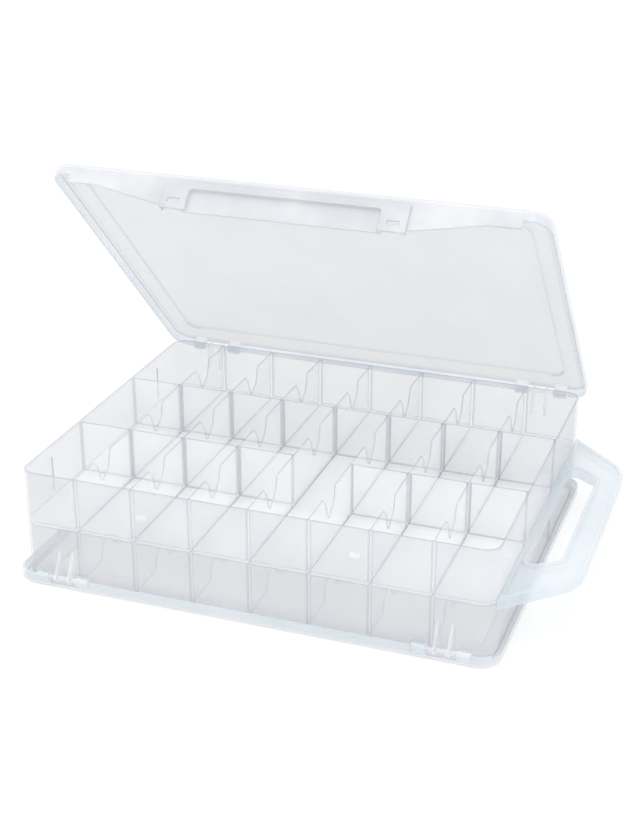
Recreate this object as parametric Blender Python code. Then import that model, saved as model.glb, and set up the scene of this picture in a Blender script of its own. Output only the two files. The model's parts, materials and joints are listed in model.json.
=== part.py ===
"""Double-sided thread organiser box with two hinged lids.

One moulded body carries a tray on its upper face and the same tray, turned half round about X, on its
lower face, plus a fixed loop handle on its +X side. Two equal lids snap onto hinge pins: the upper one
at the back, shown open, and the lower one at the front, shown closed.

The origin is the middle of the lower lid's outer face. +X points to the handle, +Y to the back, +Z up.
Each lid is drawn closed, in a frame whose origin is its hinge axis, and an empty on that axis turns it.
"""

import math

import bmesh
import bpy

MM = 0.001

# Body
COLUMNS = 8
ROWS = 3
COLUMN_PITCH = 40 * MM
BODY_WIDTH = COLUMNS * COLUMN_PITCH
BODY_DEPTH = 250 * MM
ROW_PITCH = BODY_DEPTH / ROWS
TRAY_HEIGHT = 38 * MM  # middle plane to rim
CORNER_RADIUS = 10 * MM
WALL = 1.6 * MM
FLOOR = 1.6 * MM
DIVIDER = 1.2 * MM
LAP_STRIP = 3 * MM  # of each long wall, left whole under the dividers that cross it
OPEN_COLUMN = 4  # counted from 0; its compartment runs through two rows
GAP = 0.3 * MM  # between neighbouring solids

# Finger slot in each divider, measured from the front of its row
SLOT_FRONT = 28 * MM
SLOT_LOW = 38.5 * MM
SLOT_BACK = 52 * MM
SLOT_DEPTH = 19 * MM
SLOT_STEEP_RUN = 3 * MM  # the back side's steep upper part
SLOT_STEEP_SHARE = 0.6  # of the slot's depth
SLOT_SHALLOW_RUN = 5 * MM  # the front side's rounded shoulder
SLOT_SHALLOW_SHARE = 0.25
SLOT_RADII = (3 * MM, 6 * MM, 1.6 * MM, 4 * MM, 2 * MM)  # back to front

# Lids
LID_SKIN = 1.8 * MM
LID_PAD = 0.8 * MM  # raised middle field
LID_PAD_INSET = 16 * MM
SIDE_OVERHANG = 4 * MM
LATCH_OVERHANG = 4.5 * MM
HINGE_OVERHANG = 8 * MM
LID_CORNER_RADIUS = 14 * MM
SKIRT_DEPTH = 6 * MM
LID_OPEN = math.radians(45.5)

# Latch, on the long side of each lid
APRON_HALF = 148 * MM
APRON_DEPTH = 11.5 * MM  # below the rim
APRON_SLANT = 128 * MM  # where the apron's edge starts to slant down
LATCH_HALF = 80 * MM
LATCH_DEPTH = 23.5 * MM  # below the rim
LATCH_PROUD = 2.2 * MM
LATCH_EDGE = 1 * MM  # the slant runs this far under the block's end
SLANT_END_DEPTH = 21 * MM
GRIP_HALF = 62.5 * MM  # finger recess
GRIP_TOP = 8.7 * MM  # below the rim
GRIP_RECESS = 3.2 * MM
GRIP_RADIUS = 2.5 * MM
CATCH_X = 71.5 * MM
CATCH_DROP = 17.5 * MM  # below the rim
CATCH_WIDTH = 6.5 * MM
CATCH_HEIGHT = 2 * MM
CATCH_PROUD = 4 * MM
CATCH_ROOT_DROP = 1.2 * MM  # the root reaches this much lower than the tip
CATCH_LEDGE = 1 * MM
CATCH_SLOT = (8 * MM, 3 * MM)

# Hinges
HINGE_X = 129 * MM
AXIS_OUT = 6 * MM  # from the outer wall
AXIS_DROP = 5 * MM  # below the rim
PIN_RADIUS = 1.5 * MM
PIN_HALF = 18 * MM
EYE_RADIUS = 3.4 * MM
PIN_CLEARANCE = 0.35 * MM
MOUTH_HALF = 1.35 * MM  # the snap lugs' mouth, narrower than the pin
LUG_WIDTH = 9 * MM
LUG_CENTRE = 14.4 * MM  # from the middle of the hinge
CHEEK_WIDTH = 2 * MM
CHEEK_CENTRE = 4.7 * MM
CHEEK_FOOT = 22 * MM  # below the rim
CHEEK_TOP = 3 * MM  # above the axis, at the wall
CHEEK_ROUND = (105, -60)  # degrees from +Y, where the cheek follows the eye
LUG_SHOULDER = 0.6  # of the lug's height, where its hinge side starts to slope
HINGE_NOTCH_HALF = 19.5 * MM
NOTCH_STRIP = 1.2 * MM  # skirt left over each hinge

# Handle
HANDLE_OUT = 42 * MM
HANDLE_ROOT_HALF = 121 * MM
HANDLE_SHOULDER = (37 * MM, 85 * MM)  # out from the wall, and half length
HANDLE_GRIP_HALF = 72 * MM
HANDLE_BAR = 16.5 * MM
HANDLE_ROOT = 4.5 * MM
HANDLE_HOLE_INNER_HALF = 76 * MM
HANDLE_HOLE_OUTER_HALF = 61 * MM
HANDLE_HEIGHT = 8 * MM
HANDLE_WEB = 2.4 * MM
HANDLE_RIM = 2.5 * MM
HANDLE_SHOULDER_RADIUS = 6 * MM
HANDLE_CORNER_RADIUS = 8 * MM
HANDLE_HOLE_RADIUS = 5 * MM

# Heights of the closed box
MIDDLE = LID_PAD + LID_SKIN + GAP + TRAY_HEIGHT
HALF_WIDTH = BODY_WIDTH / 2
HALF_DEPTH = BODY_DEPTH / 2
AXIS_Y = HALF_DEPTH + AXIS_OUT
AXIS_Z = TRAY_HEIGHT - AXIS_DROP  # above the middle plane

ARC_STEPS = 6
PIN_SIDES = 16
CUT = 5 * MM  # how far a cutter passes a face
OVERLAP = 0.5 * MM  # how far a joined solid reaches into its neighbour
ROUGHNESS = 0.22


def clear_scene():
    """Remove every object, so that the file starts from nothing."""
    for item in list(bpy.data.objects):
        bpy.data.objects.remove(item, do_unlink=True)


def plastic(name, colour, roughness):
    """Return a moulded plastic material."""
    material = bpy.data.materials.new(name)
    material.use_nodes = True
    shader = material.node_tree.nodes["Principled BSDF"]
    shader.inputs["Base Color"].default_value = (*colour, 1.0)
    shader.inputs["Roughness"].default_value = roughness
    shader.inputs["Metallic"].default_value = 0.0
    material.diffuse_color = (*colour, 1.0)
    return material


def add_object(name, mesh, colour, parent=None):
    """Link a mesh to the scene with a material of its own, under an optional empty."""
    item = bpy.data.objects.new(name, mesh)
    bpy.context.collection.objects.link(item)
    item.parent = parent
    item.material_slots[0].link = "OBJECT"
    item.material_slots[0].material = plastic(name, colour, ROUGHNESS)
    return item


def rounded(corners, steps=ARC_STEPS):
    """Return the outline through (x, y, radius) corners, each turned into an arc."""
    points = []
    for index, (x, y, radius) in enumerate(corners):
        if radius == 0:
            points.append((x, y))
            continue
        before, after = corners[index - 1], corners[(index + 1) % len(corners)]
        to_before = math.atan2(before[1] - y, before[0] - x)
        to_after = math.atan2(after[1] - y, after[0] - x)
        turn = (to_after - to_before + math.pi) % (2 * math.pi) - math.pi
        reach = radius / math.tan(abs(turn) / 2)
        middle = to_before + turn / 2
        centre_distance = radius / math.sin(abs(turn) / 2)
        centre_x = x + centre_distance * math.cos(middle)
        centre_y = y + centre_distance * math.sin(middle)
        start = math.atan2(
            y + reach * math.sin(to_before) - centre_y, x + reach * math.cos(to_before) - centre_x
        )
        end = math.atan2(
            y + reach * math.sin(to_after) - centre_y, x + reach * math.cos(to_after) - centre_x
        )
        sweep = (end - start + math.pi) % (2 * math.pi) - math.pi
        for step in range(steps + 1):
            angle = start + sweep * step / steps
            points.append((centre_x + radius * math.cos(angle), centre_y + radius * math.sin(angle)))
    return points


def drawn_in(corners, inset):
    """Return a convex outline's (x, y, radius) corners, each side moved in by an inset."""
    moved = []
    for index, (x, y, radius) in enumerate(corners):
        before, after = corners[index - 1], corners[(index + 1) % len(corners)]
        to_before = math.atan2(before[1] - y, before[0] - x)
        to_after = math.atan2(after[1] - y, after[0] - x)
        turn = (to_after - to_before + math.pi) % (2 * math.pi) - math.pi
        middle = to_before + turn / 2
        distance = inset / math.sin(abs(turn) / 2)
        radius = max(radius - inset, 0) if radius else 0
        moved.append((x + distance * math.cos(middle), y + distance * math.sin(middle), radius))
    return moved


def rectangle(low, high, radius=0.0):
    """Return a rectangle's outline, counter-clockwise, with round corners."""
    (x0, y0), (x1, y1) = low, high
    return rounded([(x0, y0, radius), (x1, y0, radius), (x1, y1, radius), (x0, y1, radius)])


def circle(centre, radius, sides=PIN_SIDES):
    """Return a regular polygon around a centre."""
    turn = 2 * math.pi / sides
    return [
        (centre[0] + radius * math.cos(turn * i), centre[1] + radius * math.sin(turn * i))
        for i in range(sides)
    ]


def arc(centre, radius, start, end, steps=10):
    """Return points on an arc between two angles in degrees."""
    angles = [math.radians(start + (end - start) * step / steps) for step in range(steps + 1)]
    return [(centre[0] + radius * math.cos(a), centre[1] + radius * math.sin(a)) for a in angles]


def place(plane, u, v, w):
    """Return the point that is (u, v) in the plane XY, XZ or YZ and w along its normal."""
    return {"XY": (u, v, w), "XZ": (u, w, v), "YZ": (w, u, v)}[plane]


def close(shape):
    """Turn a bmesh's faces outward and return it as a mesh with one empty material slot."""
    bmesh.ops.recalc_face_normals(shape, faces=shape.faces)
    mesh = bpy.data.meshes.new("solid")
    shape.to_mesh(mesh)
    shape.free()
    mesh.materials.append(None)
    return mesh


def add_prism(shape, outline, low, high, plane="XY"):
    """Add a straight prism to a bmesh: an outline in a plane, run from low to high along its normal."""
    bottom = [shape.verts.new(place(plane, u, v, low)) for u, v in outline]
    face = shape.faces.new(bottom)
    raised = bmesh.ops.extrude_face_region(shape, geom=[face])
    shift = place(plane, 0, 0, high - low)
    verts = [part for part in raised["geom"] if isinstance(part, bmesh.types.BMVert)]
    bmesh.ops.translate(shape, verts=verts, vec=shift)


def prism(outline, low, high, plane="XY"):
    """Return the mesh of one prism."""
    shape = bmesh.new()
    add_prism(shape, outline, low, high, plane)
    return close(shape)


def ring(outer, inner, low, high):
    """Return the mesh between two outlines with equal counts, from low to high along Z."""
    shape = bmesh.new()
    loops = [
        [shape.verts.new((x, y, z)) for x, y in outline]
        for outline, z in ((outer, low), (outer, high), (inner, high), (inner, low))
    ]
    count = len(outer)
    for level in range(4):
        here, there = loops[level], loops[(level + 1) % 4]
        for i in range(count):
            j = (i + 1) % count
            shape.faces.new((here[i], here[j], there[j], there[i]))
    return close(shape)


def combine(base, tool, operation):
    """Return the union or difference of two meshes as plain mesh."""
    holder = bpy.data.objects.new("base", base)
    cutter = bpy.data.objects.new("tool", tool)
    cutter.hide_render = True
    cutter.display_type = "WIRE"
    for item in (holder, cutter):
        bpy.context.collection.objects.link(item)
    modifier = holder.modifiers.new(operation.title(), "BOOLEAN")
    modifier.operation = operation
    modifier.solver = "EXACT"
    modifier.object = cutter
    bpy.context.view_layer.update()
    graph = bpy.context.evaluated_depsgraph_get()
    result = bpy.data.meshes.new_from_object(holder.evaluated_get(graph))
    for item in (holder, cutter):
        bpy.data.objects.remove(item, do_unlink=True)
    result.materials.clear()
    result.materials.append(None)
    return result


def join(base, tool):
    """Return two overlapping meshes as one body."""
    return combine(base, tool, "UNION")


def cut(base, tool):
    """Return a mesh with another one taken out of it."""
    return combine(base, tool, "DIFFERENCE")


def column_x(index):
    """Return the X of the line between columns; 0 is the left wall."""
    return index * COLUMN_PITCH - HALF_WIDTH


def row_y(index):
    """Return the Y of the line between rows; 0 is the front wall."""
    return index * ROW_PITCH - HALF_DEPTH


CLEAR = (0.93, 0.95, 0.97)
FROSTED = (0.88, 0.90, 0.92)


def make_outer_wall():
    """The four walls of both trays, one band with round corners."""
    outer = rectangle((-HALF_WIDTH, -HALF_DEPTH), (HALF_WIDTH, HALF_DEPTH), CORNER_RADIUS)
    inner = rectangle(
        (WALL - HALF_WIDTH, WALL - HALF_DEPTH),
        (HALF_WIDTH - WALL, HALF_DEPTH - WALL),
        CORNER_RADIUS - WALL,
    )
    mesh = ring(outer, inner, MIDDLE - TRAY_HEIGHT, MIDDLE + TRAY_HEIGHT)
    add_object("outer_wall", mesh, CLEAR)


def make_middle_floor():
    """The floor that both trays share, on the middle plane."""
    inset = WALL + GAP
    outline = rectangle(
        (inset - HALF_WIDTH, inset - HALF_DEPTH),
        (HALF_WIDTH - inset, HALF_DEPTH - inset),
        CORNER_RADIUS - inset,
    )
    mesh = prism(outline, MIDDLE - FLOOR / 2, MIDDLE + FLOOR / 2)
    add_object("middle_floor", mesh, FROSTED)


def tray_height_span():
    """Return how far above the middle plane the tray's inner walls start and end."""
    return FLOOR / 2 + GAP, TRAY_HEIGHT


def lap_height():
    """Return the height where a divider, notched at its foot, crosses a long wall, slotted from above."""
    return tray_height_span()[0] + LAP_STRIP


def row_wall_outline(x0, x1, columns):
    """Return the XZ outline of one long wall from x0 to x1, slotted from above at some columns."""
    low, high = tray_height_span()
    half = DIVIDER / 2 + GAP
    floor = lap_height() - GAP / 2
    outline = [(x1, high), (x1, low), (x0, low), (x0, high)]
    for column in columns:
        x = column_x(column)
        outline += [(x - half, high), (x - half, floor), (x + half, floor), (x + half, high)]
    return outline


def finger_slot(start, top):
    """Return the corners of a row's finger slot, back to front: steep sides and a narrow low point."""
    points = [
        (start + SLOT_BACK, top),
        (start + SLOT_BACK - SLOT_STEEP_RUN, top - SLOT_STEEP_SHARE * SLOT_DEPTH),
        (start + SLOT_LOW, top - SLOT_DEPTH),
        (start + SLOT_FRONT + SLOT_SHALLOW_RUN, top - SLOT_SHALLOW_SHARE * SLOT_DEPTH),
        (start + SLOT_FRONT, top),
    ]
    return [(y, z, radius) for (y, z), radius in zip(points, SLOT_RADII)]


def divider_outline(rows):
    """Return the YZ outline of one divider: a finger slot in each row, and a lap slot under some walls."""
    low, high = tray_height_span()
    half = DIVIDER / 2 + GAP
    roof = lap_height() + GAP / 2
    end = HALF_DEPTH - WALL - GAP
    corners = [(-end, high, 0), (-end, low, 0)]
    for row in rows:
        y = row_y(row)
        corners += [(y - half, low, 0), (y - half, roof, 0), (y + half, roof, 0), (y + half, low, 0)]
    corners += [(end, low, 0), (end, high, 0)]
    for row in reversed(range(ROWS)):
        corners += finger_slot(row_y(row), high)
    return rounded(corners, steps=3)


def half_turn(mesh):
    """Turn a mesh half round about the X axis."""
    for vertex in mesh.vertices:
        vertex.co.y = -vertex.co.y
        vertex.co.z = -vertex.co.z
    return mesh


def raise_to_middle(item):
    """Move an object drawn about the middle plane to its height."""
    item.location.z = MIDDLE


def make_tray(side):
    """The long walls and the cross dividers of one tray; the lower tray is the upper one half turned."""
    near, far = ("front", "rear") if side == "upper" else ("rear", "front")
    inset = HALF_WIDTH - WALL - GAP
    gap_low = column_x(OPEN_COLUMN) - DIVIDER / 2 - GAP
    gap_high = column_x(OPEN_COLUMN + 1) + DIVIDER / 2 + GAP
    meshes = {}
    for name, row, x0, x1, columns in (
        (f"{near}_left", 1, -inset, gap_low, range(1, OPEN_COLUMN)),
        (f"{near}_right", 1, gap_high, inset, range(OPEN_COLUMN + 2, COLUMNS)),
        (far, 2, -inset, inset, range(1, COLUMNS)),
    ):
        outline, y = row_wall_outline(x0, x1, columns), row_y(row)
        mesh = prism(outline, y - DIVIDER / 2, y + DIVIDER / 2, "XZ")
        meshes[f"{side}_row_wall_{name}"] = mesh
    for column in range(1, COLUMNS):
        x = column_x(column)
        rows = (2,) if column in (OPEN_COLUMN, OPEN_COLUMN + 1) else (1, 2)
        mesh = prism(divider_outline(rows), x - DIVIDER / 2, x + DIVIDER / 2, "YZ")
        meshes[f"{side}_divider_{column}"] = mesh
    for name, mesh in meshes.items():
        raise_to_middle(add_object(name, mesh if side == "upper" else half_turn(mesh), CLEAR))


def handle_corners():
    """Return the corners of the handle's outer outline."""
    shoulder_x, shoulder_y = HANDLE_SHOULDER
    half = [
        (HALF_WIDTH + GAP, HANDLE_ROOT_HALF, 0),
        (HALF_WIDTH + shoulder_x, shoulder_y, HANDLE_SHOULDER_RADIUS),
        (HALF_WIDTH + HANDLE_OUT, HANDLE_GRIP_HALF, HANDLE_CORNER_RADIUS),
    ]
    return [(x, -y, radius) for x, y, radius in half] + half[::-1]


def handle_hole_corners():
    """Return the corners of the handle's hole."""
    inner_x = HALF_WIDTH + HANDLE_ROOT
    outer_x = HALF_WIDTH + HANDLE_OUT - HANDLE_BAR
    radius = HANDLE_HOLE_RADIUS
    return [
        (inner_x, -HANDLE_HOLE_INNER_HALF, radius),
        (outer_x, -HANDLE_HOLE_OUTER_HALF, radius),
        (outer_x, HANDLE_HOLE_OUTER_HALF, radius),
        (inner_x, HANDLE_HOLE_INNER_HALF, radius),
    ]


def make_handle():
    """The fixed loop handle: a thin web on the middle plane, stiffened by a band along both edges."""
    top, web = HANDLE_HEIGHT / 2, HANDLE_WEB / 2
    mesh = prism(rounded(handle_corners()), -top, top)
    mesh = cut(mesh, prism(rounded(handle_hole_corners()), -top - CUT, top + CUT))
    for low, high in ((web, top + CUT), (-top - CUT, -web)):
        pocket = prism(rounded(drawn_in(handle_corners(), HANDLE_RIM)), low, high)
        band = prism(rounded(drawn_in(handle_hole_corners(), -HANDLE_RIM)), low - CUT, high + CUT)
        mesh = cut(mesh, cut(pocket, band))
    raise_to_middle(add_object("carry_handle", mesh, CLEAR))


def catch_mesh(x):
    """One catch for a lid's latch, on the -Y wall, drawn about the middle plane."""
    top = TRAY_HEIGHT - CATCH_DROP + CATCH_HEIGHT / 2
    root, tip = -HALF_DEPTH - GAP, -HALF_DEPTH - CATCH_PROUD
    outline = [
        (root, top),
        (root, top - CATCH_HEIGHT - CATCH_ROOT_DROP),
        (tip, top - CATCH_HEIGHT),
        (tip, top - CATCH_HEIGHT / 2),
        (root - CATCH_LEDGE, top),
    ]
    return prism(outline, x - CATCH_WIDTH / 2, x + CATCH_WIDTH / 2, "YZ")


def bracket_mesh(x):
    """One hinge bracket on the +Y wall, about the middle plane: two cheeks and the pin through them."""
    root = HALF_DEPTH + GAP
    rim = TRAY_HEIGHT
    cheek = [(root, rim - CHEEK_FOOT), (root, AXIS_Z + CHEEK_TOP)]
    cheek += arc((AXIS_Y, AXIS_Z), EYE_RADIUS, *CHEEK_ROUND)
    mesh = prism(circle((AXIS_Y, AXIS_Z), PIN_RADIUS), x - PIN_HALF, x + PIN_HALF, "YZ")
    for side in (-1, 1):
        centre = x + side * CHEEK_CENTRE
        plate = prism(cheek, centre - CHEEK_WIDTH / 2, centre + CHEEK_WIDTH / 2, "YZ")
        mesh = join(mesh, plate)
    return mesh


def make_body_fittings(side):
    """The hinge brackets and catches that one lid uses."""
    for name, sign in (("left", -1), ("right", 1)):
        fittings = {
            f"{side}_hinge_bracket_{name}": bracket_mesh(sign * HINGE_X),
            f"{side}_catch_{name}": catch_mesh(sign * CATCH_X),
        }
        for label, mesh in fittings.items():
            raise_to_middle(add_object(label, mesh if side == "upper" else half_turn(mesh), CLEAR))


def lid_outline(inset):
    """Return a closed lid's outline from its hinge axis, drawn in by an inset."""
    half_x = HALF_WIDTH + SIDE_OVERHANG - inset
    latch_y = -HALF_DEPTH - LATCH_OVERHANG + inset - AXIS_Y
    hinge_y = HALF_DEPTH + HINGE_OVERHANG - inset - AXIS_Y
    return rectangle((-half_x, latch_y), (half_x, hinge_y), LID_CORNER_RADIUS - inset)


def lid_panel_mesh():
    """The lid's flat skin, with a field in the middle that stands outward."""
    low = AXIS_DROP + GAP
    edge = LID_PAD_INSET - SIDE_OVERHANG
    low_corner = (edge - HALF_WIDTH, edge - HALF_DEPTH - AXIS_Y)
    high_corner = (HALF_WIDTH - edge, HALF_DEPTH - edge - AXIS_Y)
    field = rectangle(low_corner, high_corner, CORNER_RADIUS)
    skin = prism(lid_outline(0), low, low + LID_SKIN)
    return join(skin, prism(field, low + LID_SKIN - OVERLAP, low + LID_SKIN + LID_PAD))


def lid_skirt_mesh():
    """The short wall round the lid, notched for its hinges."""
    top = AXIS_DROP
    bottom = AXIS_DROP - SKIRT_DEPTH
    mesh = ring(lid_outline(0), lid_outline(LID_SKIN), bottom, top)
    hinge_y = HALF_DEPTH + HINGE_OVERHANG - AXIS_Y
    for x in (-HINGE_X, HINGE_X):
        low = (x - HINGE_NOTCH_HALF, hinge_y - LID_SKIN - CUT)
        high = (x + HINGE_NOTCH_HALF, hinge_y + CUT)
        mesh = cut(mesh, prism(rectangle(low, high), bottom - CUT, top - NOTCH_STRIP))
    return mesh


def lid_lug_mesh(x):
    """One snap lug, centred on x, that hangs from the lid and clips over a bracket's pin."""
    hinge_y = HALF_DEPTH + HINGE_OVERHANG - AXIS_Y
    top = AXIS_DROP - NOTCH_STRIP - GAP
    outline = [(-EYE_RADIUS, top)] + arc((0, 0), EYE_RADIUS, 180, 360)
    outline += [(EYE_RADIUS, LUG_SHOULDER * top), (hinge_y, top)]
    low, high = x - LUG_WIDTH / 2, x + LUG_WIDTH / 2
    mesh = prism(outline, low, high, "YZ")
    bore = circle((0, 0), PIN_RADIUS + PIN_CLEARANCE)
    mouth = rectangle((-MOUTH_HALF, -EYE_RADIUS - CUT), (MOUTH_HALF, 0))
    for outline in (bore, mouth):
        mesh = cut(mesh, prism(outline, low - CUT, high + CUT, "YZ"))
    return mesh


def lid_latch_mesh():
    """The deep apron on the lid's latch side: slanted wings and a proud block with a finger recess."""
    skin_out = -HALF_DEPTH - LATCH_OVERHANG - AXIS_Y
    skin_in = skin_out + LID_SKIN
    block_out = skin_out - LATCH_PROUD
    rim = AXIS_DROP
    top = rim - SKIRT_DEPTH - GAP
    wings = [
        (-APRON_HALF, top),
        (-APRON_HALF, rim - APRON_DEPTH),
        (-APRON_SLANT, rim - APRON_DEPTH),
        (LATCH_EDGE - LATCH_HALF, rim - SLANT_END_DEPTH),
        (LATCH_HALF - LATCH_EDGE, rim - SLANT_END_DEPTH),
        (APRON_SLANT, rim - APRON_DEPTH),
        (APRON_HALF, rim - APRON_DEPTH),
        (APRON_HALF, top),
    ]
    mesh = prism(wings, skin_out, skin_in, "XZ")
    recess_in = block_out + GRIP_RECESS + LID_SKIN
    block = rectangle((-LATCH_HALF, rim - LATCH_DEPTH), (LATCH_HALF, top))
    mesh = join(mesh, prism(block, block_out, recess_in, "XZ"))
    grip = rounded(
        [
            (-GRIP_HALF, rim - LATCH_DEPTH - CUT, 0),
            (GRIP_HALF, rim - LATCH_DEPTH - CUT, 0),
            (GRIP_HALF, rim - GRIP_TOP, GRIP_RADIUS),
            (-GRIP_HALF, rim - GRIP_TOP, GRIP_RADIUS),
        ],
        steps=4,
    )
    mesh = cut(mesh, prism(grip, block_out - CUT, block_out + GRIP_RECESS, "XZ"))
    slot_width, slot_height = CATCH_SLOT
    slot_z = rim - CATCH_DROP
    for side in (-1, 1):
        near, far = sorted((side * (GRIP_HALF + LID_SKIN), side * (LATCH_HALF - LID_SKIN)))
        pocket = rectangle((near, rim - LATCH_DEPTH - CUT), (far, top - LID_SKIN))
        mesh = cut(mesh, prism(pocket, block_out + LID_SKIN, recess_in + CUT, "XZ"))
        slot = rectangle(
            (side * CATCH_X - slot_width / 2, slot_z - slot_height / 2),
            (side * CATCH_X + slot_width / 2, slot_z + slot_height / 2),
        )
        mesh = cut(mesh, prism(slot, block_out - CUT, recess_in + CUT, "XZ"))
    return mesh


def make_lids():
    """Both lids, which share their meshes; an empty on each hinge axis turns one."""
    meshes = {
        "panel": lid_panel_mesh(),
        "skirt": lid_skirt_mesh(),
        "latch": lid_latch_mesh(),
    }
    for name, sign in (("left", -1), ("right", 1)):
        meshes[f"{name}_inner_lug"] = lid_lug_mesh(sign * (HINGE_X - LUG_CENTRE))
        meshes[f"{name}_outer_lug"] = lid_lug_mesh(sign * (HINGE_X + LUG_CENTRE))
    places = {
        "upper": ((0, AXIS_Y, MIDDLE + AXIS_Z), -LID_OPEN),
        "lower": ((0, -AXIS_Y, MIDDLE - AXIS_Z), math.pi),
    }
    for side, (location, angle) in places.items():
        axis = bpy.data.objects.new(f"{side}_lid_axis", None)
        bpy.context.collection.objects.link(axis)
        axis.location = location
        axis.rotation_euler.x = angle
        for part, mesh in meshes.items():
            add_object(f"{side}_lid_{part}", mesh, CLEAR, parent=axis)


clear_scene()
make_outer_wall()
make_middle_floor()
make_handle()
for tray in ("upper", "lower"):
    make_tray(tray)
    make_body_fittings(tray)
make_lids()
bpy.context.view_layer.update()
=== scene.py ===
"""Looks of a clear, double-sided thread organiser with two hinged lids.

The box is three injection mouldings in milky clear polypropylene: one body with a divided tray on
each face and a loop handle, and two equal lids that clip over hinge pins. Every length is in
metres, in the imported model's own frame: +X to the handle, +Y to the back, +Z up, origin under the
closed lower lid.
"""

import json
import logging
import math
from collections.abc import Callable, Iterable, Sequence
from dataclasses import dataclass
from enum import Enum

import bmesh
import bpy
from mathutils import Matrix, Vector


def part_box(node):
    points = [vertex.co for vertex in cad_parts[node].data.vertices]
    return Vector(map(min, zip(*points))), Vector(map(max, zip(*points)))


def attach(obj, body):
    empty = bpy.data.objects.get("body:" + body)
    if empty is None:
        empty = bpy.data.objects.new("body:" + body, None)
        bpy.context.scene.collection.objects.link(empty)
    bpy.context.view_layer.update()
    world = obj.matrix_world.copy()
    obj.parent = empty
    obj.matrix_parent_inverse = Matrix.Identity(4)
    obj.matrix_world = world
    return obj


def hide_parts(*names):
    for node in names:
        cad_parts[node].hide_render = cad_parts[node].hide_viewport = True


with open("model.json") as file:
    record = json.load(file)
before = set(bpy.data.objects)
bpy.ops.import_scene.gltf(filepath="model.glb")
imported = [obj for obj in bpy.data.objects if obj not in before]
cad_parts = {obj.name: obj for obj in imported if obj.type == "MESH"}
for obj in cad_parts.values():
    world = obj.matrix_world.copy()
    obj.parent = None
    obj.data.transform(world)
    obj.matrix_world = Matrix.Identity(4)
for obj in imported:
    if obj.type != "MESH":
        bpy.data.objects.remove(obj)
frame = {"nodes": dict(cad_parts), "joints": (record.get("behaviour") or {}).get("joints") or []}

LOG = logging.getLogger("thread_box")
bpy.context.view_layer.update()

MM = 0.001
Mesh = bpy.types.Mesh
Face = bpy.types.MeshPolygon
Object = bpy.types.Object
Material = bpy.types.Material
Tree = bpy.types.NodeTree
Trees = dict[str, Tree]
Socket = bpy.types.NodeSocket
Point = tuple[float, float]
Corner = tuple[float, float, float]
Outline = list[Point]
Level = tuple[Outline, float]
FILLET = ((1.0, 0.0), (0.5, 0.134), (0.134, 0.5), (0.0, 1.0))  # a quarter round: in, up
CREASE = 38.0  # degrees; faces that meet at more than this keep a crisp edge
FLAT, UPRIGHT = 0.9, 0.5  # of a face's normal along Z: at least, and at most


class Plane(Enum):
    """The plane an outline is drawn in."""

    XY = "floor plan"
    XZ = "seen from the front"
    YZ = "seen from the side"

    def point(self, u: float, v: float, w: float) -> tuple[float, float, float]:
        """Return the point at (u, v) in the plane and w along its normal."""
        return {Plane.XY: (u, v, w), Plane.XZ: (u, w, v), Plane.YZ: (w, u, v)}[self]


class Join(Enum):
    """How one solid meets another."""

    ADD = "UNION"
    CUT = "DIFFERENCE"


class Side(Enum):
    """The two faces of the box; each has a tray and a lid."""

    UPPER = "upper"
    LOWER = "lower"


# ---------------------------------------------------------------- outlines


def rounded(corners: Sequence[Corner], steps: int = 6) -> Outline:
    """Turn each corner of an outline into an arc.

    Args:
        corners: (x, y, radius) in order round the outline.
        steps: straight pieces in each arc.

    Returns:
        The outline, with the same number of points for every round corner.
    """
    points: Outline = []
    for index, (x, y, radius) in enumerate(corners):
        if radius == 0:
            points.append((x, y))
            continue
        before, after = corners[index - 1], corners[(index + 1) % len(corners)]
        to_before = math.atan2(before[1] - y, before[0] - x)
        to_after = math.atan2(after[1] - y, after[0] - x)
        turn = (to_after - to_before + math.pi) % (2 * math.pi) - math.pi
        half = abs(turn) / 2
        reach, away = radius / math.tan(half), radius / math.sin(half)
        middle = to_before + turn / 2
        cx, cy = x + away * math.cos(middle), y + away * math.sin(middle)
        start = math.atan2(
            y + reach * math.sin(to_before) - cy, x + reach * math.cos(to_before) - cx
        )
        end = math.atan2(y + reach * math.sin(to_after) - cy, x + reach * math.cos(to_after) - cx)
        sweep = (end - start + math.pi) % (2 * math.pi) - math.pi
        for step in range(steps + 1):
            angle = start + sweep * step / steps
            points.append((cx + radius * math.cos(angle), cy + radius * math.sin(angle)))
    return points


def offset(outline: Outline, inset: float) -> Outline:
    """Move every side of a closed outline inward.

    Args:
        outline: points in either direction round a shape.
        inset: how far inward; a negative value grows the shape.

    Returns:
        The moved outline, point for point.
    """
    count = len(outline)
    area = sum(
        outline[i - 1][0] * outline[i][1] - outline[i][0] * outline[i - 1][1] for i in range(count)
    )
    inward = 1.0 if area > 0 else -1.0
    moved: Outline = []
    for i, (x, y) in enumerate(outline):
        normals = []
        for start, end in ((outline[i - 1], (x, y)), ((x, y), outline[(i + 1) % count])):
            along = Vector((end[0] - start[0], end[1] - start[1])).normalized()
            normals.append(Vector((-along.y, along.x)) * inward)
        both = normals[0] + normals[1]
        share = inset / (1 + normals[0].dot(normals[1]))
        moved.append((x + both.x * share, y + both.y * share))
    return moved


def box_outline(
    x0: float, x1: float, y0: float, y1: float, radius: float | Sequence[float]
) -> Outline:
    """Return a rectangle with round corners, counter-clockwise from its lowest corner.

    Args:
        x0, x1, y0, y1: the rectangle's sides.
        radius: one for all corners, or one for each.

    Returns:
        The outline.
    """
    radii = [radius] * 4 if isinstance(radius, (int, float)) else list(radius)
    return rounded([(x0, y0, radii[0]), (x1, y0, radii[1]), (x1, y1, radii[2]), (x0, y1, radii[3])])


def mirrored(half: Sequence[Corner]) -> list[Corner]:
    """Return corners at negative x, given in order, and then their mirror images."""
    return [*half, *((-x, y, radius) for x, y, radius in reversed(half))]


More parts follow.
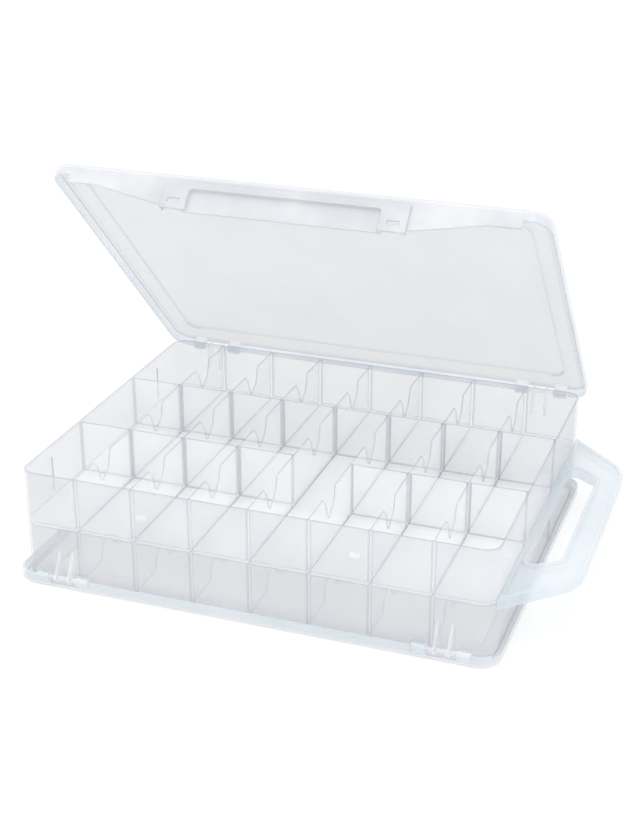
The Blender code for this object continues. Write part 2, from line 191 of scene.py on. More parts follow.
def circle(centre: Point, radius: float, sides: int = 32) -> Outline:
    """Return a regular polygon round a centre."""
    turn = 2 * math.pi / sides
    return [
        (centre[0] + radius * math.cos(turn * i), centre[1] + radius * math.sin(turn * i))
        for i in range(sides)
    ]


def arc(centre: Point, radius: float, start: float, end: float, steps: int = 16) -> Outline:
    """Return points on an arc between two angles in degrees."""
    angles = [math.radians(start + (end - start) * step / steps) for step in range(steps + 1)]
    return [(centre[0] + radius * math.cos(a), centre[1] + radius * math.sin(a)) for a in angles]


# ---------------------------------------------------------------- solids


def loft(levels: Iterable[Level], plane: Plane = Plane.XY) -> Mesh:
    """Skin a stack of outlines into one closed solid.

    Args:
        levels: (outline, height) in order; every outline has the same number of points.
        plane: the plane that the outlines are drawn in.

    Returns:
        The solid, its faces turned outward.
    """
    shape = bmesh.new()
    loops = [[shape.verts.new(plane.point(u, v, w)) for u, v in line] for line, w in levels]
    count = len(loops[0])
    for here, there in zip(loops, loops[1:]):
        for i in range(count):
            j = (i + 1) % count
            shape.faces.new((here[i], here[j], there[j], there[i]))
    shape.faces.new(loops[0][::-1])
    shape.faces.new(loops[-1])
    bmesh.ops.recalc_face_normals(shape, faces=shape.faces)
    mesh = bpy.data.meshes.new("solid")
    shape.to_mesh(mesh)
    shape.free()
    return mesh


def slab(outline: Outline, low: float, high: float, plane: Plane, edge: float = 0.3 * MM) -> Mesh:
    """Return a plate with softened edges.

    Args:
        outline: the plate's outline.
        low: where the plate starts along the plane's normal.
        high: where it ends.
        plane: the plane of the outline.
        edge: the radius of its edges.

    Returns:
        The closed solid.
    """
    levels = [(offset(outline, edge * inset), low + edge * up) for inset, up in FILLET]
    levels += [(offset(outline, edge * inset), high - edge * up) for inset, up in reversed(FILLET)]
    return loft(levels, plane)


def plain(outline: Outline, low: float, high: float, plane: Plane) -> Mesh:
    """Return a straight prism, used as a cutter."""
    return loft([(outline, low), (outline, high)], plane)


def combine(base: Mesh, tool: Mesh, how: Join, crossing: bool = False) -> Mesh:
    """Return the first mesh with the second added to it or cut out of it.

    Args:
        base: a closed mesh.
        tool: a closed mesh, or several in one.
        how: what to do with the tool.
        crossing: parts of the tool overlap one another.

    Returns:
        The resulting mesh.
    """
    holders = [linked("shape", mesh) for mesh in (base, tool)]
    modifier = holders[0].modifiers.new("combine", "BOOLEAN")
    modifier.operation, modifier.solver, modifier.object = how.value, "EXACT", holders[1]
    modifier.use_self = crossing
    result = evaluated(holders[0])
    for holder in holders:
        bpy.data.objects.remove(holder, do_unlink=True)
    return result


def linked(name: str, data: bpy.types.ID) -> Object:
    """Put a mesh, a lamp or a camera in the scene as an object."""
    item = bpy.data.objects.new(name, data)
    bpy.context.scene.collection.objects.link(item)
    return item


def evaluated(item: Object) -> Mesh:
    """Return an object's mesh with its modifiers applied."""
    bpy.context.view_layer.update()
    graph = bpy.context.evaluated_depsgraph_get()
    return bpy.data.meshes.new_from_object(item.evaluated_get(graph))


def merged(meshes: Sequence[Mesh]) -> Mesh:
    """Return separate meshes as one, without joining their surfaces."""
    shape = bmesh.new()
    for mesh in meshes:
        shape.from_mesh(mesh)
    result = bpy.data.meshes.new("set")
    shape.to_mesh(result)
    shape.free()
    return result


def moved(mesh: Mesh, matrix: Matrix) -> Mesh:
    """Return a copy of a mesh put through a rigid movement."""
    copy = mesh.copy()
    copy.transform(matrix)
    return copy


# ---------------------------------------------------------------- nodes


def add_node(
    tree: Tree, kind: str, inputs: dict[str | int, object] | None = None, **settings: object
) -> bpy.types.Node:
    """Add a node with its settings, values and links.

    Args:
        tree: the shader or geometry tree.
        kind: the node's type.
        inputs: a value, or an output socket to link, for each input by name or number.
        settings: the node's own properties.

    Returns:
        The node.
    """
    node = tree.nodes.new(kind)
    for name, value in settings.items():
        setattr(node, name, value)
    for name, value in (inputs or {}).items():
        if isinstance(value, Socket):
            tree.links.new(value, node.inputs[name])
        else:
            node.inputs[name].default_value = value
    return node


COLOUR_A, COLOUR_B, COLOUR_OUT = 6, 7, 2  # the Mix node's colour sockets


def linear(code: str) -> tuple[float, float, float, float]:
    """Turn an sRGB hex colour into linear RGBA."""
    parts = [int(code[i : i + 2], 16) / 255 for i in (1, 3, 5)]
    return (*(c / 12.92 if c <= 0.04045 else ((c + 0.055) / 1.055) ** 2.4 for c in parts), 1.0)


NOISE_SPAN = (0.3, 0.7)  # nearly all of a noise texture's values
GLOSS_SPREAD = (0.8, 1.25)  # of the roughness, from the grain's hollows to its tops


@dataclass(frozen=True)
class Polypropylene:
    """A moulded clear polypropylene surface.

    Clarified polypropylene isn't glass clear: its crystals scatter light, so a wall is a milky pane
    with a soft gloss, and the flow of the melt leaves long faint clouds and a slightly wavy skin.
    """

    name: str
    # the base tone and the tone of the melt's clouds; the outer wall, edge, lid, latch and border
    # finishes darken or tint both as painted shade, painted reflection and painted dark edge lines
    milk_and_painted_light: str
    cloud_and_painted_light: str
    cover: float  # share of light that one surface stops
    glow: float = 0.2  # share of the stopped light that comes through scattered
    roughness: float = 0.14
    grain: float = 0.9 * MM  # size of the mould's surface texture
    grain_depth: float = 0.003 * MM
    flow: float = 45 * MM  # width of the melt's clouds
    stretch: Corner = (1.0, 0.45, 1.0)  # the clouds are longer along Y
    ripple: float = 0.05 * MM  # height of the skin's waves
    ior: float = 1.49
    specular: float = 0.5

    @staticmethod
    def noise(tree: Tree, place: Socket, size: float, detail: float, rough: float) -> Socket:
        """Add a noise texture whose features are about as large as a size."""
        inputs = {"Vector": place, "Scale": 1 / size, "Detail": detail, "Roughness": rough}
        return add_node(tree, "ShaderNodeTexNoise", inputs).outputs["Fac"]

    @staticmethod
    def spread(tree: Tree, noise: Socket, span: Point, kind: str = "LINEAR") -> Socket:
        """Stretch a noise over a span of values."""
        inputs = {"Value": noise, "From Min": NOISE_SPAN[0], "From Max": NOISE_SPAN[1]}
        inputs |= {"To Min": span[0], "To Max": span[1]}
        node = add_node(tree, "ShaderNodeMapRange", inputs, interpolation_type=kind)
        return node.outputs["Result"]

    def skin(self, tree: Tree, clouds: Socket, grain: Socket) -> Socket:
        """Add the normal of the wavy, faintly grained skin."""
        waves = {"Height": clouds, "Strength": 1.0, "Distance": self.ripple}
        wavy = add_node(tree, "ShaderNodeBump", waves).outputs["Normal"]
        grains = {"Height": grain, "Strength": 1.0, "Distance": self.grain_depth, "Normal": wavy}
        return add_node(tree, "ShaderNodeBump", grains).outputs["Normal"]

    def material(self) -> Material:
        """Build the surface's node tree.

        Returns:
            The material.
        """
        material = bpy.data.materials.new(self.name)
        material.use_nodes = True
        tree = material.node_tree
        tree.nodes.clear()
        place = add_node(tree, "ShaderNodeTexCoord").outputs["Object"]
        drawn = add_node(tree, "ShaderNodeMapping", {"Vector": place, "Scale": self.stretch})
        clouds = self.noise(tree, drawn.outputs["Vector"], self.flow, detail=3.0, rough=0.55)
        grain = self.noise(tree, place, self.grain, detail=2.0, rough=0.6)
        share = self.spread(tree, clouds, (0.0, 1.0), "SMOOTHSTEP")
        tones = {"Factor": share, COLOUR_A: linear(self.milk_and_painted_light), COLOUR_B: linear(self.cloud_and_painted_light)}
        tone = add_node(tree, "ShaderNodeMix", tones, data_type="RGBA").outputs[COLOUR_OUT]
        low, high = (self.roughness * part for part in GLOSS_SPREAD)
        skin = self.skin(tree, clouds, grain)
        solid = add_node(
            tree,
            "ShaderNodeBsdfPrincipled",
            {
                "Base Color": tone,
                "Roughness": self.spread(tree, grain, (low, high)),
                "IOR": self.ior,
                "Specular IOR Level": self.specular,
                "Normal": skin,
            },
        )
        glow = add_node(tree, "ShaderNodeBsdfTranslucent", {"Color": tone, "Normal": skin})
        milky = add_node(
            tree, "ShaderNodeMixShader", {0: self.glow, 1: solid.outputs[0], 2: glow.outputs[0]}
        )
        clear = add_node(tree, "ShaderNodeBsdfTransparent", {"Color": linear("#FFFFFF")})
        surface = add_node(
            tree, "ShaderNodeMixShader", {0: self.cover, 1: clear.outputs[0], 2: milky.outputs[0]}
        )
        add_node(tree, "ShaderNodeOutputMaterial", {"Surface": surface.outputs[0]})
        return material


class Repeat:
    """Geometry Nodes trees that set copies of a part in rows, and sweep a bead along a path."""

    @staticmethod
    def _tree(name: str, **sockets: str) -> tuple[Tree, dict]:
        """Start a tree with named inputs and one geometry output.

        Args:
            name: the tree's name.
            sockets: the kind of each input, by name.

        Returns:
            The tree, and the sockets that give its inputs, by name.
        """
        tree = bpy.data.node_groups.new(name, "GeometryNodeTree")
        for label, kind in {**sockets, "Material": "Material"}.items():
            tree.interface.new_socket(name=label, in_out="INPUT", socket_type="NodeSocket" + kind)
        tree.interface.new_socket(
            name="Geometry", in_out="OUTPUT", socket_type="NodeSocketGeometry"
        )
        return tree, add_node(tree, "NodeGroupInput").outputs

    @staticmethod
    def _copies(tree: Tree, spots: bpy.types.Node, part: Socket) -> Socket:
        """Set copies of an object on points."""
        shape = add_node(tree, "GeometryNodeObjectInfo", {"Object": part}).outputs["Geometry"]
        inputs = {"Points": spots.outputs[0], "Instance": shape}
        return add_node(tree, "GeometryNodeInstanceOnPoints", inputs).outputs[0]

    @staticmethod
    def _end(tree: Tree, shape: Socket, finish: Socket) -> None:
        """Close a tree with Realize Instances and Set Material."""
        real = add_node(tree, "GeometryNodeRealizeInstances", {"Geometry": shape}).outputs[0]
        dressed = add_node(tree, "GeometryNodeSetMaterial", {"Geometry": real, "Material": finish})
        add_node(tree, "NodeGroupOutput", {"Geometry": dressed.outputs[0]})

    @classmethod
    def grid_tree(cls) -> Tree:
        """Return the tree that sets a part at every crossing of a grid."""
        tree, given = cls._tree(
            "grid_of_parts",
            Part="Object",
            Columns="Int",
            Rows="Int",
            Width="Float",
            Depth="Float",
            Centre="Vector",
        )
        counts = {"Vertices X": given["Columns"], "Vertices Y": given["Rows"]}
        sizes = {"Size X": given["Width"], "Size Y": given["Depth"]}
        grid = add_node(tree, "GeometryNodeMeshGrid", {**sizes, **counts})
        spots = add_node(
            tree,
            "GeometryNodeTransform",
            {"Geometry": grid.outputs[0], "Translation": given["Centre"]},
        )
        cls._end(tree, cls._copies(tree, spots, given["Part"]), given["Material"])
        return tree

    @classmethod
    def row_tree(cls) -> Tree:
        """Return the tree that sets a part in a straight row."""
        tree, given = cls._tree(
            "row_of_parts", Part="Object", Count="Int", Start="Vector", Step="Vector"
        )
        line = {"Count": given["Count"], "Start Location": given["Start"], "Offset": given["Step"]}
        spots = add_node(tree, "GeometryNodeMeshLine", line)
        cls._end(tree, cls._copies(tree, spots, given["Part"]), given["Material"])
        return tree

    @classmethod
    def bead_tree(cls) -> Tree:
        """Return the tree that sweeps a round bead along a closed path."""
        tree, given = cls._tree("swept_bead", Path="Object", Radius="Float", Sides="Int")
        path = add_node(tree, "GeometryNodeObjectInfo", {"Object": given["Path"]})
        line = add_node(tree, "GeometryNodeMeshToCurve", {"Mesh": path.outputs["Geometry"]})
        section = add_node(
            tree,
            "GeometryNodeCurvePrimitiveCircle",
            {"Resolution": given["Sides"], "Radius": given["Radius"]},
            mode="RADIUS",
        )
        ends = {"Curve": line.outputs[0], "Profile Curve": section.outputs[0]}
        swept = add_node(tree, "GeometryNodeCurveToMesh", ends)
        cls._end(tree, swept.outputs[0], given["Material"])
        return tree

    @staticmethod
    def run(tree: Tree, **values: object) -> Mesh:
        """Run a tree once and keep its result as a plain mesh.

        Args:
            tree: one of the trees above.
            values: each input by name; a mesh stands for an object that holds it.

        Returns:
            The mesh, its faces turned outward.
        """
        holder = linked(tree.name, bpy.data.meshes.new(tree.name))
        held = [holder]
        modifier = holder.modifiers.new(tree.name, "NODES")
        modifier.node_group = tree
        for socket in tree.interface.items_tree:
            if socket.in_out == "INPUT" and socket.name in values:
                value = values[socket.name]
                if isinstance(value, Mesh):
                    value = linked("part", value)
                    held.append(value)
                modifier[socket.identifier] = value
        shape = bmesh.new()
        shape.from_mesh(evaluated(holder))
        bmesh.ops.recalc_face_normals(shape, faces=shape.faces)
        mesh = bpy.data.meshes.new(tree.name)
        shape.to_mesh(mesh)
        shape.free()
        for item in held:
            bpy.data.objects.remove(item, do_unlink=True)
        return mesh

    @classmethod
    def pair(cls, tree: Tree, part: Mesh, x: float) -> Mesh:
        """Return a part at x and again at -x, with the row tree."""
        return cls.run(tree, Part=part, Count=2, Start=(-x, 0.0, 0.0), Step=(2 * x, 0.0, 0.0))


# ---------------------------------------------------------------- cutters

BEYOND = 1.2 * MM  # how far a cutter passes a face


def recess(
    outline: Outline,
    floor: float,
    mouth: float,
    plane: Plane,
    fillet: float = 0.8 * MM,
    rim: float = 0.4 * MM,
    draft: float = 0.0,
    island: bool = False,
) -> Mesh:
    """Return the cutter of a blind recess with a filleted floor and a rounded rim.

    Args:
        outline: the recess just above its floor.
        floor: where it ends along the plane's normal.
        mouth: the face it opens through.
        plane: the plane of the outline.
        fillet: the radius round the floor.
        rim: the radius round the mouth.
        draft: how much each side opens towards the mouth.
        island: the shape stays standing inside a recess, so its curves turn the other way.

    Returns:
        The closed cutter.
    """
    way = 1.0 if mouth > floor else -1.0
    sign = -1.0 if island else 1.0
    levels = [(offset(outline, sign * fillet), floor - way * BEYOND)] if island else []
    levels += [
        (offset(outline, sign * fillet * inset), floor + way * fillet * up) for inset, up in FILLET
    ]
    levels += [
        (offset(outline, -sign * (draft + rim * grow)), mouth - way * rim * down)
        for grow, down in reversed(FILLET)
    ]
    levels.append((offset(outline, -sign * (draft + rim)), mouth + way * BEYOND))
    return loft(levels, plane)


def through(
    outline: Outline, low: float, high: float, plane: Plane, edge: float = 0.3 * MM
) -> Mesh:
    """Return the cutter of a hole that passes a plate, its rims rounded on both faces.

    Args:
        outline: the hole inside the plate.
        low: one face of the plate along the plane's normal.
        high: the other face.
        plane: the plane of the outline.
        edge: the radius of the rims.

    Returns:
        The closed cutter.
    """
    steps = [(-edge * inset, edge * up) for inset, up in FILLET]
    levels = [(offset(outline, -edge), low - BEYOND)]
    levels += [(offset(outline, inset), low + up) for inset, up in steps]
    levels += [(offset(outline, inset), high - up) for inset, up in reversed(steps)]
    levels.append((offset(outline, -edge), high + BEYOND))
    return loft(levels, plane)


# ---------------------------------------------------------------- pieces

WALL_LOW, WALL_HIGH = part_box("outer_wall")
MIDDLE = (WALL_LOW.z + WALL_HIGH.z) / 2
RIM_HEIGHT = WALL_HIGH.z - MIDDLE
HALF_WIDTH, HALF_DEPTH = WALL_HIGH.x, WALL_HIGH.y
HINGES = {joint["child"]: Vector(joint["pos_m"]) for joint in frame["joints"]}
AXIS = HINGES["upper_lid"] - Vector((0, 0, MIDDLE))  # from the box's centre
TRAY_PLACE = {
    Side.UPPER: Matrix.Translation((0, 0, MIDDLE)),
    Side.LOWER: Matrix.Translation((0, 0, MIDDLE)) @ Matrix.Rotation(math.pi, 4, "X"),
}


def dress(
    mesh: Mesh, finishes: Sequence[Material], choose: Callable[[Face], int] = lambda face: 0
) -> Mesh:
    """Give each face its finish and shade the curves smooth.

    Args:
        mesh: a closed mesh.
        finishes: the materials, in slot order.
        choose: returns the slot of a face.

    Returns:
        The dressed mesh.
    """
    mesh.materials.clear()
    for finish in finishes:
        mesh.materials.append(finish)
    for face in mesh.polygons:
        face.material_index = choose(face)
        face.use_smooth = True
    mesh.set_sharp_from_angle(angle=math.radians(CREASE))
    holder = linked("dressing", mesh)
    modifier = holder.modifiers.new("weights", "WEIGHTED_NORMAL")
    modifier.keep_sharp = True
    result = evaluated(holder)
    bpy.data.objects.remove(holder, do_unlink=True)
    return result


def slender(face: Face, mesh: Mesh) -> float:
    """Return a face's rough width: twice its area over its outline's length."""
    corners = [mesh.vertices[i].co for i in face.vertices]
    length = sum((corners[i] - corners[i - 1]).length for i in range(len(corners)))
    return 2 * face.area / max(length, 1e-9)


def place_piece(name: str, mesh: Mesh, body: str, nodes: Sequence[str]) -> None:
    """Put a finished mesh in the scene as a piece of the object.

    Args:
        name: the piece's name.
        mesh: its mesh, in the frame's own place.
        body: the body it rides on.
        nodes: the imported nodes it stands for.
    """
    mesh.name = name
    item = linked(name, mesh)
    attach(item, body)
    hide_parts(*nodes)
    LOG.info("%s: %d faces on %s for %d nodes", name, len(mesh.polygons), body, len(nodes))


@dataclass
class TrayMoulding:
    """The body: four walls, a shared floor and the same divided tray on each face."""

    columns: int = 8
    rows: int = 3
    wall: float = 1.6 * MM
    floor: float = 1.6 * MM
    divider: float = 1.2 * MM
    corner: float = 10 * MM
    inner_corner: float = 1.2 * MM
    fillet: float = 0.9 * MM
    rim: float = 0.4 * MM
    draft: float = 0.08 * MM
    open_column: int = 4
    slot_front: float = 28 * MM
    slot_low: float = 38.5 * MM
    slot_back: float = 52 * MM
    slot_depth: float = 19 * MM
    slot_steep: float = 0.6  # share of the depth that the steep back side takes
    slot_shoulder: float = 0.25  # share that the front shoulder takes
    rib_rows: tuple[int, ...] = (0, 2)
    rib_place: float = 40.3 * MM
    rib_half: float = 0.5 * MM
    rib_proud: float = 0.8 * MM
    rib_span: tuple[float, float] = (8 * MM, 33 * MM)  # below the rim
    edge_width: float = 0.7 * MM  # narrower faces are edges

    @property
    def pitch_x(self) -> float:
        """The width of a column."""
        return 2 * HALF_WIDTH / self.columns

    @property
    def pitch_y(self) -> float:
        """The depth of a row."""
        return 2 * HALF_DEPTH / self.rows

    def column_x(self, index: int) -> float:
        """Return where a line between columns is; 0 is the left wall."""
        return index * self.pitch_x - HALF_WIDTH

    def row_y(self, index: int) -> float:
        """Return where a line between rows is; 0 is the front wall."""
        return index * self.pitch_y - HALF_DEPTH

    def block(self) -> Mesh:
        """Return the solid block that the compartments are cut from."""
        outline = box_outline(-HALF_WIDTH, HALF_WIDTH, -HALF_DEPTH, HALF_DEPTH, self.corner)
        return slab(outline, -RIM_HEIGHT, RIM_HEIGHT, Plane.XY, self.rim)

    def compartment(self, column: int, row: int, rows: int = 1) -> Mesh:
        """Return the cutter of one compartment.

        Args:
            column: its column.
            row: its first row.
            rows: how many rows it runs through.

        Returns:
            The cutter, about the middle plane.
        """
        at_left, at_right = column == 0, column == self.columns - 1
        at_near, at_far = row == 0, row + rows == self.rows
        left, right, near, far = (
            self.wall if at_wall else self.divider / 2
            for at_wall in (at_left, at_right, at_near, at_far)
        )
        radii = [
            self.corner - self.wall if side and end else self.inner_corner
            for side, end in (
                (at_left, at_near), (at_right, at_near), (at_right, at_far), (at_left, at_far)
            )
        ]
        outline = box_outline(
            self.column_x(column) + left,
            self.column_x(column + 1) - right,
            self.row_y(row) + near,
            self.row_y(row + rows) - far,
            radii,
        )
        return recess(
            outline, self.floor / 2, RIM_HEIGHT, Plane.XY, self.fillet, self.rim, self.draft
        )

    def compartments(self) -> Mesh:
        """Return the cutters of one tray; one compartment runs through two rows."""
        cutters = [self.compartment(self.open_column, 0, 2)]
        for column in range(self.columns):
            for row in range(self.rows):
                if column != self.open_column or row == self.rows - 1:
                    cutters.append(self.compartment(column, row))
        return merged(cutters)

    def finger_slot(self) -> Mesh:
        """Return the cutter of one finger slot: steep sides and a narrow low point."""
        top, depth = RIM_HEIGHT, self.slot_depth
        far, side = 20 * MM, 5 * MM
        corners = [
            (self.slot_back + far, top, 0),
            (self.slot_back, top, 3 * MM),
            (self.slot_back - 3 * MM, top - self.slot_steep * depth, 6 * MM),
            (self.slot_low, top - depth, 1.6 * MM),
            (self.slot_front + side, top - self.slot_shoulder * depth, 4 * MM),
            (self.slot_front, top, 2 * MM),
            (self.slot_front - far, top, 0),
        ]
        outline = rounded(corners, steps=8)[1:-1]
        above = top + 3 * MM
        outline = [(outline[0][0], above)] + outline + [(outline[-1][0], above)]
        half = self.divider / 2
        return through(outline, -half, half, Plane.YZ, 0.35 * MM)

    def finger_slots(self, trees: Trees) -> Mesh:
        """Return the cutters of every finger slot of one tray."""
        return Repeat.run(
            trees["grid"],
            Part=self.finger_slot(),
            Columns=self.columns - 1,
            Rows=self.rows,
            Width=(self.columns - 2) * self.pitch_x,
            Depth=(self.rows - 1) * self.pitch_y,
            Centre=(0.0, -HALF_DEPTH + (self.rows - 1) * self.pitch_y / 2, 0.0),
        )

    def ribs(self) -> Mesh:
        """Return the short upright ribs inside the left wall."""
        face = self.wall - HALF_WIDTH
        high, low = (RIM_HEIGHT - drop for drop in self.rib_span)
        parts = []
        for row in self.rib_rows:
            y = self.row_y(row) + self.rib_place
            left, right = face - 0.5 * MM, face + self.rib_proud
            outline = box_outline(left, right, y - self.rib_half, y + self.rib_half, 0.3 * MM)
            parts.append(slab(outline, low, high, Plane.XY, 0.2 * MM))
        return merged(parts)

    def build(self, trees: Trees) -> Mesh:
        """Return the whole body in its place."""
        both = (TRAY_PLACE[Side.UPPER], TRAY_PLACE[Side.LOWER])
        cutters = (self.compartments(), self.finger_slots(trees))
        hollows = merged([moved(cutter, place) for cutter in cutters for place in both])
        mesh = combine(moved(self.block(), both[0]), hollows, Join.CUT, crossing=True)
        return combine(mesh, merged([moved(self.ribs(), place) for place in both]), Join.ADD)

    def dress(self, mesh: Mesh, finishes: Sequence[Material]) -> Mesh:
        """Give the dividers, the thin rims, the floor and the outer wall their finishes; the rims
        take painted dark edge lines and the outer wall painted shade.
        """
        inside = self.wall + 0.1 * MM

        def choose(face: Face) -> int:
            """Return a face's finish."""
            level = abs(face.center.z - MIDDLE)
            if abs(face.normal.z) > FLAT and level < self.floor:
                return 2
            # thin faces take the edge finish with its painted dark lines
            if slender(face, mesh) < self.edge_width:
                return 1
            # faces of the outer wall and its corners take the greyer finish of painted shade
            in_x = HALF_WIDTH - abs(face.center.x)
            in_y = HALF_DEPTH - abs(face.center.y)
            return 3 if min(in_x, in_y) < inside or max(in_x, in_y) < self.corner else 0

        return dress(mesh, finishes, choose)

    def nodes(self) -> list[str]:
        """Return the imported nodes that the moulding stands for."""
        kept = ("outer_wall", "middle_floor")
        parts = ("_divider_", "_row_wall_")
        return [n for n in frame["nodes"] if n in kept or any(part in n for part in parts)]


@dataclass
class CarryHandle:
    """The loop handle: a thin web on the middle plane, stiffened by a band along both edges."""

    out: float = 42 * MM
    root_half: float = 121 * MM
    shoulder: Point = (37 * MM, 85 * MM)
    grip_half: float = 72 * MM
    bar: float = 16.5 * MM
    root: float = 4.5 * MM
    hole_inner_half: float = 76 * MM
    hole_outer_half: float = 61 * MM
    height: float = 8 * MM
    web: float = 2.4 * MM
    band: float = 2.5 * MM
    sunk: float = 0.3 * MM  # into the wall

    def outer(self) -> Outline:
        """Return the handle's outer outline."""
        half = [
            (HALF_WIDTH - self.sunk, self.root_half, 0.0),
            (HALF_WIDTH + self.shoulder[0], self.shoulder[1], 6 * MM),
            (HALF_WIDTH + self.out, self.grip_half, 8 * MM),
        ]
        return rounded([(x, -y, radius) for x, y, radius in half] + half[::-1], steps=10)

    def hole(self) -> Outline:
        """Return the outline of the hand hole."""
        near, far = HALF_WIDTH + self.root, HALF_WIDTH + self.out - self.bar
        inner, outer, radius = self.hole_inner_half, self.hole_outer_half, 5 * MM
        corners = [(near, -inner), (far, -outer), (far, outer), (near, inner)]
        return rounded([(x, y, radius) for x, y in corners], steps=8)

    def build(self) -> Mesh:
        """Return the handle in its place."""
        top, web = self.height / 2, self.web / 2
        mesh = slab(self.outer(), -top, top, Plane.XY, 0.6 * MM)
        mesh = combine(mesh, through(self.hole(), -top, top, Plane.XY, 0.6 * MM), Join.CUT)
        field_line, ring_line = offset(self.outer(), self.band), offset(self.hole(), -self.band)
        for way in (1, -1):
            pocket = recess(field_line, way * web, way * top, Plane.XY, 0.9 * MM, 0.4 * MM)
            left = recess(
                ring_line, way * web, way * top, Plane.XY, 0.9 * MM, 0.4 * MM, island=True
            )
            mesh = combine(mesh, combine(pocket, left, Join.CUT), Join.CUT)
        return moved(mesh, TRAY_PLACE[Side.UPPER])


@dataclass
class HingeBrackets:
    """Two brackets for one lid: each has two cheeks and the pin through them."""

    x: float = 129 * MM
    pin_radius: float = 1.5 * MM
    pin_half: float = 18 * MM
    eye: float = 3.4 * MM
    cheek_width: float = 2 * MM
    cheek_centre: float = 4.7 * MM
    cheek_foot: float = 22 * MM  # below the rim
    cheek_top: float = 3 * MM  # above the axis, at the wall
    sunk: float = 0.3 * MM

    def bracket(self) -> Mesh:
        """Return one bracket, about x = 0 and the middle plane."""
        root = HALF_DEPTH - self.sunk
        cheek = [(root, RIM_HEIGHT - self.cheek_foot), (root, AXIS.z + self.cheek_top)]
        cheek += arc((AXIS.y, AXIS.z), self.eye, 105, -60)
        pin = circle((AXIS.y, AXIS.z), self.pin_radius)
        mesh = slab(pin, -self.pin_half, self.pin_half, Plane.YZ, 0.3 * MM)
        half = self.cheek_width / 2
        for side in (-1, 1):
            centre = side * self.cheek_centre
            plate = slab(cheek, centre - half, centre + half, Plane.YZ, 0.3 * MM)
            mesh = combine(mesh, plate, Join.ADD)
        return mesh

    def build(self, side: Side, trees: Trees) -> Mesh:
        """Return both brackets of one lid in their place."""
        return moved(Repeat.pair(trees["row"], self.bracket(), self.x), TRAY_PLACE[side])


@dataclass
class LatchCatches:
    """Two wedge catches that one lid's latch closes over."""

    x: float = 71.5 * MM
    drop: float = 17.5 * MM  # below the rim
    width: float = 6.5 * MM
    height: float = 2 * MM
    proud: float = 4 * MM
    root_drop: float = 1.2 * MM
    ledge: float = 1 * MM
    sunk: float = 0.3 * MM

    def catch(self) -> Mesh:
        """Return one catch, about x = 0 and the middle plane."""
        top = RIM_HEIGHT - self.drop + self.height / 2
        root, tip = -HALF_DEPTH + self.sunk, -HALF_DEPTH - self.proud
        corners = [
            (root, top, 0.0),
            (root, top - self.height - self.root_drop, 0.0),
            (tip, top - self.height, 0.3 * MM),
            (tip, top - self.height / 2, 0.3 * MM),
            (root - self.ledge - self.sunk, top, 0.3 * MM),
        ]
        outline = rounded(corners, steps=3)
        return slab(outline, -self.width / 2, self.width / 2, Plane.YZ, 0.2 * MM)

    def build(self, side: Side, trees: Trees) -> Mesh:
        """Return both catches of one lid in their place."""
        return moved(Repeat.pair(trees["row"], self.catch(), self.x), TRAY_PLACE[side])


